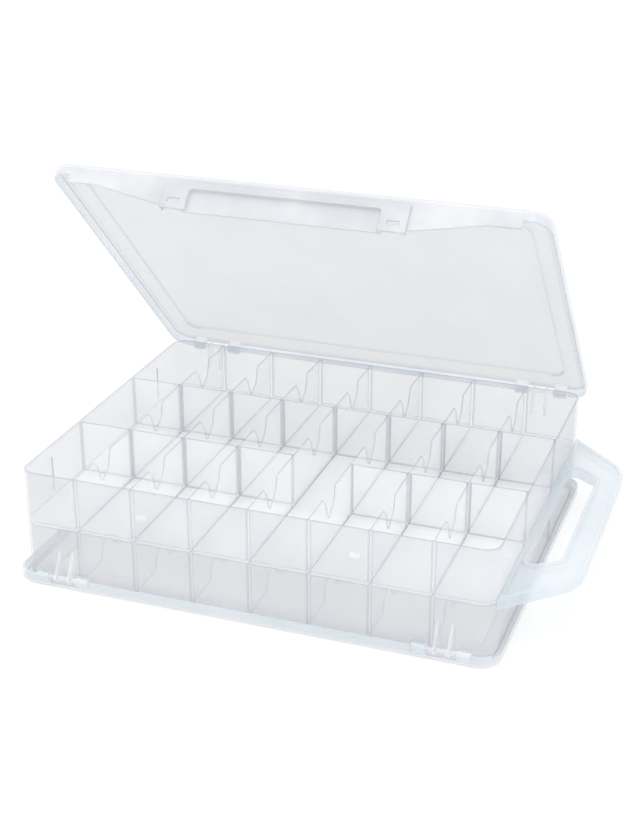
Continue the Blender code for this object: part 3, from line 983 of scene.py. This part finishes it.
@dataclass
class LidMoulding:
    """One lid: a panel with a raised field, a skirt, a latch apron and four snap lugs.

    It is drawn closed over the upper tray, with Z measured from the tray's rim and Y from the box's
    middle; place() turns it about its hinge.
    """

    skin: float = 1.8 * MM
    gap: float = 0.3 * MM
    pad: float = 0.8 * MM
    pad_inset: float = 12 * MM
    pad_corner: float = 10 * MM
    side: float = 4 * MM
    latch_side: float = 4.5 * MM
    hinge_side: float = 8 * MM
    corner: float = 14 * MM
    shoulder: float = 2.2 * MM
    skirt: float = 6 * MM
    apron_half: float = 148 * MM
    apron_depth: float = 11.5 * MM
    apron_slant: float = 128 * MM
    slant_end: float = 21 * MM
    block_half: float = 80 * MM
    block_top: float = 3.7 * MM
    block_depth: float = 23.5 * MM
    block_proud: float = 2.2 * MM
    grip_half: float = 62.5 * MM
    grip_top: float = 8.7 * MM
    grip_recess: float = 3.2 * MM
    slot_x: float = 71.5 * MM
    slot_drop: float = 17.5 * MM
    slot_size: Point = (8 * MM, 3 * MM)
    hinge_x: float = 129 * MM
    notch_half: float = 19.5 * MM
    notch_strip: float = 1.2 * MM
    lug_width: float = 9 * MM
    lug_centre: float = 14.4 * MM
    eye: float = 3.4 * MM
    bore: float = 1.85 * MM
    mouth: float = 1.35 * MM
    bead_inset: float = 5.2 * MM
    bead_radius: float = 0.2 * MM
    bead_sides: int = 8
    edge_width: float = 0.75 * MM  # narrower faces are edges
    open_angle: float = 45.5  # degrees at rest, for the upper lid

    def outline(self, inset: float) -> Outline:
        """Return the lid's outline, drawn in by an inset."""
        half = HALF_WIDTH + self.side - inset
        low, high = -HALF_DEPTH - self.latch_side + inset, HALF_DEPTH + self.hinge_side - inset
        return box_outline(-half, half, low, high, self.corner - inset)

    def pad_outline(self, inset: float) -> Outline:
        """Return the raised field's outline, drawn in by an inset."""
        half_x = HALF_WIDTH - self.pad_inset - inset
        half_y = HALF_DEPTH - self.pad_inset - inset
        return box_outline(-half_x, half_x, -half_y, half_y, self.pad_corner - inset)

    def shell(self) -> Mesh:
        """Return the panel and its skirt as one dished shell."""
        low, high = self.gap, self.gap + self.skin
        step, lip, inner, under = 0.8 * MM, 0.35 * MM, 1.0 * MM, 0.9 * MM

        def bend(inset: float, grow: float, level: float, rise: float) -> list[Level]:
            """Return the levels of a quarter round."""
            return [(self.outline(inset + grow * a), level + rise * b) for a, b in FILLET]

        field = ((1.0, 1.0), (0.5, 0.87), (0.0, 0.5), (-0.5, 0.13), (-1.0, 0.0))
        levels = [(self.pad_outline(step * a), high + self.pad * b) for a, b in field]
        levels += bend(0.0, self.shoulder, high, -self.shoulder)
        levels += bend(0.0, lip, -self.skirt, lip)[::-1]
        levels += bend(self.skin, -lip, -self.skirt, lip)
        levels += bend(self.skin, inner, low, -inner)[::-1]
        field = ((step - under, 0.0), (under, 0.5), (step + under, 1.0))
        levels += [(self.pad_outline(inset), low + self.pad * b) for inset, b in field]
        return loft(levels)

    def apron(self) -> Mesh:
        """Return the slanted wings below the skirt's latch side."""
        out = -HALF_DEPTH - self.latch_side
        top = -self.skirt + 2 * MM
        half = [
            (-self.apron_half, top, 0.0),
            (-self.apron_half, -self.apron_depth, 1.5 * MM),
            (-self.apron_slant, -self.apron_depth, 6 * MM),
            (-self.block_half + 1 * MM, -self.slant_end, 1 * MM),
        ]
        return slab(rounded(mirrored(half), steps=5), out, out + self.skin, Plane.XZ, 0.35 * MM)

    def block(self) -> Mesh:
        """Return the proud latch block before its recess is cut."""
        front = -HALF_DEPTH - self.latch_side - self.block_proud
        back = front + self.grip_recess + self.skin
        outline = box_outline(
            -self.block_half, self.block_half, -self.block_depth, -self.block_top, 1.2 * MM
        )
        return slab(outline, front, back, Plane.XZ, 0.45 * MM)

    def latch_cutters(self) -> list[Mesh]:
        """Return the finger recess, the hollows behind the block's ends and the catch slots."""
        front = -HALF_DEPTH - self.latch_side - self.block_proud
        back = front + self.grip_recess + self.skin
        below = -self.block_depth - 5 * MM
        grip = rounded(
            [
                (-self.grip_half, below, 0.0),
                (self.grip_half, below, 0.0),
                (self.grip_half, -self.grip_top, 2.5 * MM),
                (-self.grip_half, -self.grip_top, 2.5 * MM),
            ],
            steps=8,
        )
        cutters = [recess(grip, front + self.grip_recess, front, Plane.XZ, 0.8 * MM, 0.5 * MM)]
        width, height = self.slot_size
        for side in (-1, 1):
            near, far = sorted(
                (side * (self.grip_half + self.skin), side * (self.block_half - self.skin))
            )
            hollow = box_outline(near, far, below, -self.block_top - self.skin, 1.2 * MM)
            cutters.append(recess(hollow, front + self.skin, back, Plane.XZ, 0.5 * MM, 0.3 * MM))
            x = side * self.slot_x
            slot = box_outline(
                x - width / 2,
                x + width / 2,
                -self.slot_drop - height / 2,
                -self.slot_drop + height / 2,
                0.6 * MM,
            )
            cutters.append(through(slot, front, front + self.skin, Plane.XZ, 0.25 * MM))
        return cutters

    def lug(self) -> Mesh:
        """Return one snap lug, about x = 0, in the lid's own heights."""
        axis_z = AXIS.z - RIM_HEIGHT
        top = self.gap + 0.5 * self.skin
        wall = HALF_DEPTH + self.hinge_side - 0.4 * MM
        outline = [(AXIS.y - self.eye, top)]
        outline += arc((AXIS.y, axis_z), self.eye, 180, 360)
        outline += [(AXIS.y + self.eye, axis_z + 2.0 * MM), (wall, axis_z + 3.6 * MM), (wall, top)]
        half = self.lug_width / 2
        mesh = slab(outline, -half, half, Plane.YZ, 0.3 * MM)
        bore = circle((AXIS.y, axis_z), self.bore)
        mouth = box_outline(
            AXIS.y - self.mouth, AXIS.y + self.mouth, axis_z - self.eye - 5 * MM, axis_z, 0.2 * MM
        )
        for hole in (bore, mouth):
            mesh = combine(mesh, plain(hole, -half - BEYOND, half + BEYOND, Plane.YZ), Join.CUT)
        return mesh

    def lugs(self, trees: Trees) -> Mesh:
        """Return all four lugs: a pair at each hinge."""
        at_one_hinge = Repeat.pair(trees["row"], self.lug(), self.lug_centre)
        return Repeat.pair(trees["row"], at_one_hinge, self.hinge_x)

    def bead(self, trees: Trees) -> Mesh:
        """Return the locating bead on the underside, just over the tray's rim."""
        line = self.outline(self.bead_inset)
        path = bpy.data.meshes.new("bead_path")
        points = [(x, y, self.gap) for x, y in line]
        path.from_pydata(points, [(i, (i + 1) % len(points)) for i in range(len(points))], [])
        return Repeat.run(trees["bead"], Path=path, Radius=self.bead_radius, Sides=self.bead_sides)

    def hinge_notches(self) -> Mesh:
        """Return the cutters that open the skirt at both hinges."""
        inner = HALF_DEPTH + self.hinge_side - self.skin - 1.5 * MM
        below = -self.skirt - 5 * MM
        parts = []
        for x in (-self.hinge_x, self.hinge_x):
            left, right = x - self.notch_half, x + self.notch_half
            opening = box_outline(left, right, below, -self.notch_strip, 0.8 * MM)
            parts.append(plain(opening, inner, inner + 10 * MM, Plane.XZ))
        return merged(parts)

    def build(self, trees: Trees) -> Mesh:
        """Return the lid, closed."""
        mesh = combine(self.shell(), self.hinge_notches(), Join.CUT)
        mesh = combine(mesh, self.apron(), Join.ADD)
        mesh = combine(mesh, self.block(), Join.ADD)
        for cutter in self.latch_cutters():
            mesh = combine(mesh, cutter, Join.CUT)
        mesh = combine(mesh, self.lugs(trees), Join.ADD)
        return combine(mesh, self.bead(trees), Join.ADD)

    def place(self, side: Side) -> Matrix:
        """Return the movement from closed over the upper tray to this lid's place at rest."""
        to_axis = Matrix.Translation((0, -AXIS.y, RIM_HEIGHT - AXIS.z))
        hinge = HINGES[f"{side.value}_lid"]
        turn = -math.radians(self.open_angle) if side is Side.UPPER else math.pi
        return Matrix.Translation(hinge) @ Matrix.Rotation(turn, 4, "X") @ to_axis

    def dress(self, mesh: Mesh, finishes: Sequence[Material]) -> Mesh:
        """Give the panel, the thin edges, the latch and the skirt their finishes, in that order:
        the panel and latch take painted shade, the thin edges painted dark lines and the skirt a
        painted cool reflection.
        """
        back = -HALF_DEPTH - self.latch_side + self.block_proud + self.skin

        def choose(face: Face) -> int:
            """Return a face's finish."""
            # the latch block and apron take the latch finish's painted shade
            if face.center.y < back and face.center.z < -self.block_top:
                return 2
            # the hinge side's skirt and lugs take the border finish's painted reflection
            if face.center.y > AXIS.y - self.eye and face.center.z < -self.notch_strip:
                return 3
            # thin faces take the edge finish with its painted dark lines
            if slender(face, mesh) < self.edge_width:
                return 1
            # upright faces take the border finish's painted reflection, flat ones the panel's
            # painted shade
            return 3 if abs(face.normal.z) < UPRIGHT else 0

        return dress(mesh, finishes, choose)


# ---------------------------------------------------------------- studio


@dataclass(frozen=True)
class Lamp:
    """A lamp that points at the box."""

    name: str
    kind: str  # AREA or SUN
    energy: float  # watts for an area lamp, irradiance for a sun
    place: Corner
    size: float = 0.5  # side of an area lamp, or a sun's angle in radians
    colour: str = "#FFFFFF"
    aim: Corner = (0.0, 0.0, 0.08)

    def add(self) -> None:
        """Put the lamp in the scene."""
        data = bpy.data.lights.new(self.name, self.kind)
        data.energy = self.energy
        data.color = linear(self.colour)[:3]
        if self.kind == "AREA":
            data.size = self.size
        else:
            data.angle = self.size
        item = linked(self.name, data)
        item.location = self.place
        ahead = Vector(self.aim) - Vector(self.place)
        item.rotation_euler = ahead.to_track_quat("-Z", "Y").to_euler()


@dataclass
class Studio:
    """A pale floor, soft light from all round and a camera."""

    eye: Corner = (0.3301, -0.9158, 0.5280)
    yaw: float = -19.623
    pitch: float = 24.246
    roll: float = 0.07
    lens: float = 67.52
    see: float = 200.0  # how far the camera sees
    floor_size: float = 60.0
    paper: str = "#808080"
    paper_glow: float = 0.78
    walls: str = "#FFFFFF"
    ceiling: str = "#FAFAFB"
    room_span: Point = (-0.05, 0.7)  # of a ray's rise, from wall to ceiling
    room_light: float = 0.87
    clear_surfaces: int = 64  # that light may cross on its way through both trays and lids
    lamps: tuple[Lamp, ...] = (
        Lamp("overhead", "SUN", 1.6, (-0.25, -0.4, 1.3), math.radians(60)),
        Lamp("left_softbox", "AREA", 1.2, (-1.1, -0.9, 0.9)),
        Lamp("right_softbox", "AREA", 3.2, (1.3, -0.5, 0.5), colour="#E6F2FF"),
    )

    def camera(self) -> None:
        """Add the camera, level with the horizon but for a slight roll."""
        data = bpy.data.cameras.new("camera")
        data.lens, data.clip_end = self.lens, self.see
        item = linked("camera", data)
        yaw, pitch = math.radians(self.yaw), math.radians(self.pitch)
        ahead = Vector(
            (math.sin(yaw) * math.cos(pitch), math.cos(yaw) * math.cos(pitch), -math.sin(pitch))
        )
        item.location = self.eye
        turn = ahead.to_track_quat("-Z", "Y").to_matrix().to_4x4()
        item.rotation_euler = (turn @ Matrix.Rotation(math.radians(self.roll), 4, "Z")).to_euler()
        bpy.context.scene.camera = item

    def floor(self) -> None:
        """Add the floor: a large square of matt white paper that glows a little."""
        half = self.floor_size / 2
        corners = [(-half, -half, 0), (half, -half, 0), (half, half, 0), (-half, half, 0)]
        mesh = bpy.data.meshes.new("studio_floor")
        mesh.from_pydata(corners, [], [(0, 1, 2, 3)])
        material = bpy.data.materials.new("white_paper")
        material.use_nodes = True
        shader = material.node_tree.nodes["Principled BSDF"]
        shader.inputs["Base Color"].default_value = linear(self.paper)
        shader.inputs["Roughness"].default_value = 0.9
        shader.inputs["Specular IOR Level"].default_value = 0.0
        shader.inputs["Emission Color"].default_value = linear("#FFFFFF")
        shader.inputs["Emission Strength"].default_value = self.paper_glow
        mesh.materials.append(material)
        linked("studio_floor", mesh)

    def world(self) -> None:
        """Light the scene from a white room whose ceiling is a little darker than its walls."""
        world = bpy.data.worlds.new("white_room")
        bpy.context.scene.world = world
        world.use_nodes = True
        tree = world.node_tree
        tree.nodes.clear()
        ray = add_node(tree, "ShaderNodeTexCoord").outputs["Generated"]
        rise = add_node(tree, "ShaderNodeSeparateXYZ", {0: ray}).outputs["Z"]
        share = add_node(
            tree,
            "ShaderNodeMapRange",
            {"Value": rise, "From Min": self.room_span[0], "From Max": self.room_span[1]},
            interpolation_type="SMOOTHSTEP",
        ).outputs["Result"]
        tones = {"Factor": share, COLOUR_A: linear(self.walls), COLOUR_B: linear(self.ceiling)}
        tone = add_node(tree, "ShaderNodeMix", tones, data_type="RGBA").outputs[COLOUR_OUT]
        glow = add_node(tree, "ShaderNodeBackground", {"Color": tone, "Strength": self.room_light})
        add_node(tree, "ShaderNodeOutputWorld", {"Surface": glow.outputs[0]})

    def build(self) -> None:
        """Set up the whole studio."""
        self.camera()
        self.floor()
        self.world()
        for lamp in self.lamps:
            lamp.add()
        scene = bpy.context.scene
        scene.view_settings.view_transform = "Standard"
        scene.cycles.transparent_max_bounces = self.clear_surfaces


# ---------------------------------------------------------------- finishes

# the dividers and long walls, 1.2 mm of clear polypropylene
CLEAR_WALL = Polypropylene(
    "clear_polypropylene_wall",
    milk_and_painted_light="#FDFDFD",
    cloud_and_painted_light="#F7F8F9",
    cover=0.25,
    roughness=0.16,
    grain_depth=0.004 * MM,
)
# the outer wall, a little thicker; its greyer tone is painted shade
OUTER_WALL_PAINTED_SHADE = Polypropylene(
    "thick_polypropylene_wall", milk_and_painted_light="#DFE1E5", cloud_and_painted_light="#D6D9DD", cover=0.3, grain_depth=0.004 * MM
)
# rims and fillets, where the plastic is seen edge on; their darker grey-blue is partly the real
# tint of edge-on plastic, mostly painted dark lines standing in for refraction and reflection
RIM_PAINTED_DARK_EDGE = Polypropylene("polypropylene_edge", milk_and_painted_light="#B4BCC5", cloud_and_painted_light="#ADB6BF", cover=0.46)
# the shared floor, from a mould with a matt face
FROSTED = Polypropylene(
    "frosted_polypropylene_floor",
    milk_and_painted_light="#FFFFFF",
    cloud_and_painted_light="#FDFDFD",
    cover=0.66,
    glow=0.4,
    roughness=0.42,
    grain=0.7 * MM,
    grain_depth=0.02 * MM,
)
# the lids' broad panels; their grey tone is painted shade and grey reflection
LID_PAINTED_SHADE = Polypropylene(
    "clear_polypropylene_lid",
    milk_and_painted_light="#DADBDD",
    cloud_and_painted_light="#D5D6D9",
    cover=0.37,
    glow=0.4,
    roughness=0.13,
    grain=1.2 * MM,
    flow=70 * MM,
    ripple=0.03 * MM,
)
# the latch, thick and milky; its grey tone is painted shade
LATCH_PAINTED_SHADE = Polypropylene(
    "thick_polypropylene_latch",
    milk_and_painted_light="#E6E7E9",
    cloud_and_painted_light="#D2D4D8",
    cover=0.62,
    roughness=0.12,
    grain=1.2 * MM,
    grain_depth=0.004 * MM,
)
# the handle and the lids' skirts; their pale blue-grey tone is a painted reflection of cool light
# along their bends
BORDER_PAINTED_REFLECTION = Polypropylene(
    "clear_polypropylene_border", milk_and_painted_light="#E9EEF2", cloud_and_painted_light="#DEE6ED", cover=0.46, glow=0.3
)


def main() -> None:
    """Build every piece in order, then the studio."""
    logging.basicConfig(level=logging.INFO, format="%(name)s %(message)s")
    trees = {"grid": Repeat.grid_tree(), "row": Repeat.row_tree(), "bead": Repeat.bead_tree()}
    # rim is the edge finish with painted dark lines
    clear, rim, frosted = (finish.material() for finish in (CLEAR_WALL, RIM_PAINTED_DARK_EDGE, FROSTED))
    # outer is the outer wall's finish with painted shade
    outer = OUTER_WALL_PAINTED_SHADE.material()
    # panel and latch carry painted shade, border a painted cool reflection
    panel, latch, painted_reflection_border = (finish.material() for finish in (LID_PAINTED_SHADE, LATCH_PAINTED_SHADE, BORDER_PAINTED_REFLECTION))

    tray = TrayMoulding()
    mesh = tray.dress(tray.build(trees), (clear, rim, frosted, outer))
    place_piece("tray_moulding", mesh, "box", tray.nodes())
    # the handle takes the border finish's painted reflection
    mesh = dress(CarryHandle().build(), (painted_reflection_border,))
    place_piece("carry_handle_loop", mesh, "box", ["carry_handle"])
    for side in Side:
        for label, maker, kind in (
            ("hinge_brackets", HingeBrackets(), "hinge_bracket"),
            ("catches", LatchCatches(), "catch"),
        ):
            mesh = dress(maker.build(side, trees), (clear,))
            nodes = [f"{side.value}_{kind}_{end}" for end in ("left", "right")]
            place_piece(f"{side.value}_{label}", mesh, "box", nodes)
    lid = LidMoulding()
    closed = lid.dress(lid.build(trees), (panel, rim, latch, painted_reflection_border))
    for side in Side:
        body = f"{side.value}_lid"
        nodes = [n for n in frame["nodes"] if n.startswith(body)]
        mesh = moved(closed, lid.place(side))
        place_piece(f"{body}_moulding", mesh, body, nodes)
    Studio().build()


if __name__ == "__main__":
    main()
